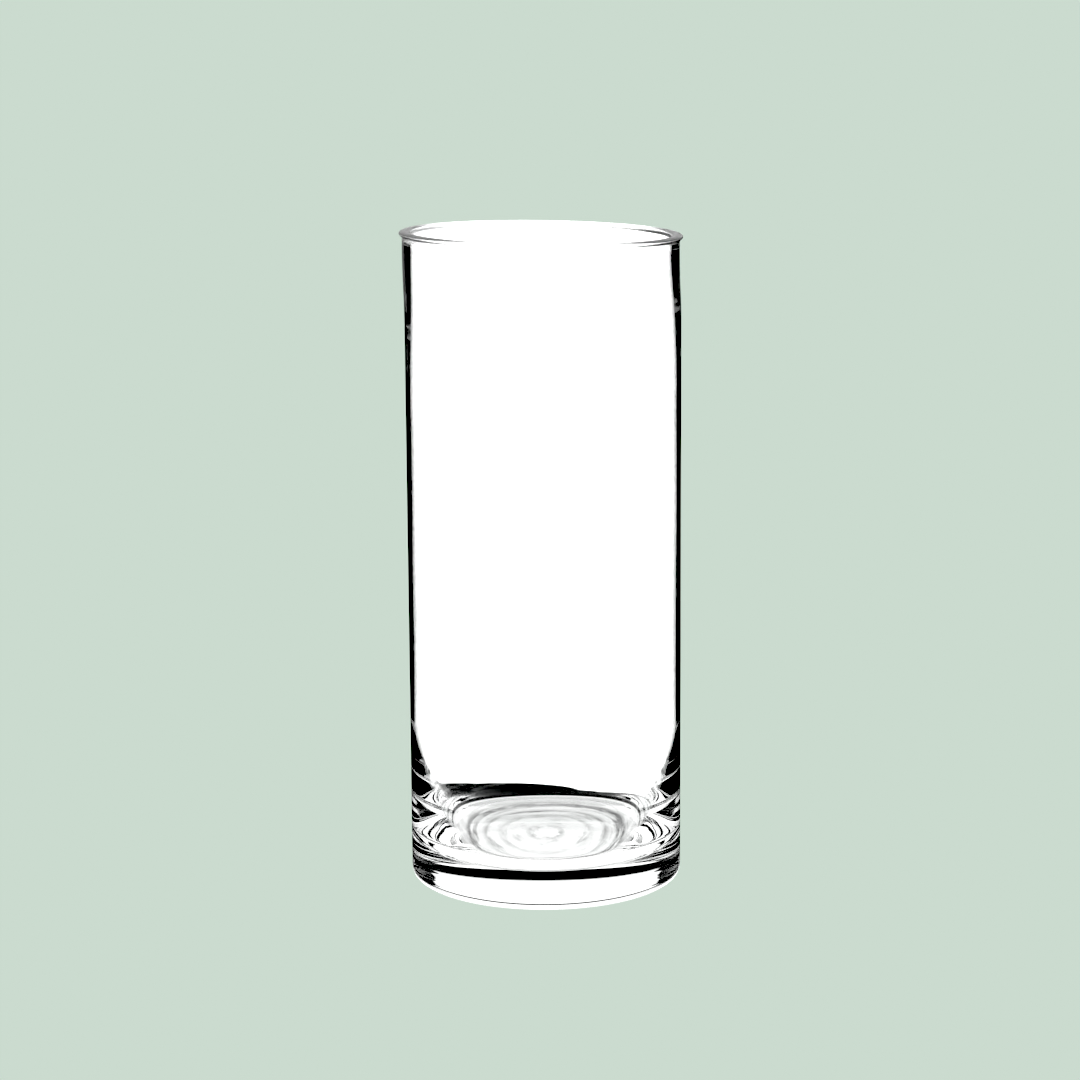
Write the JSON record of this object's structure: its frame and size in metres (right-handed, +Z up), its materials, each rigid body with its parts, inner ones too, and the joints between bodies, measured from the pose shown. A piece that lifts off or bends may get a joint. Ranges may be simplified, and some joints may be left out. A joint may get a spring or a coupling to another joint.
{
  "type": "cylinder vase",
  "caption": "Clear glass cylinder vase with straight walls, a thick base and a fire-polished rim, for cut flowers and water.",
  "frame": {"origin": "on the vase's axis, in the plane that its foot ring stands on", "axes": "+Z up along the axis of the vase; X and Y are any two horizontal directions, because the vase is round"},
  "size_m": [0.1074, 0.1074, 0.25],
  "materials": {
    "clear_glass": "polished, clear, very faint green in the thick base"
  },
  "bodies": {
    "root": {"glass_vase": "clear_glass"}
  },
  "joints": []
}
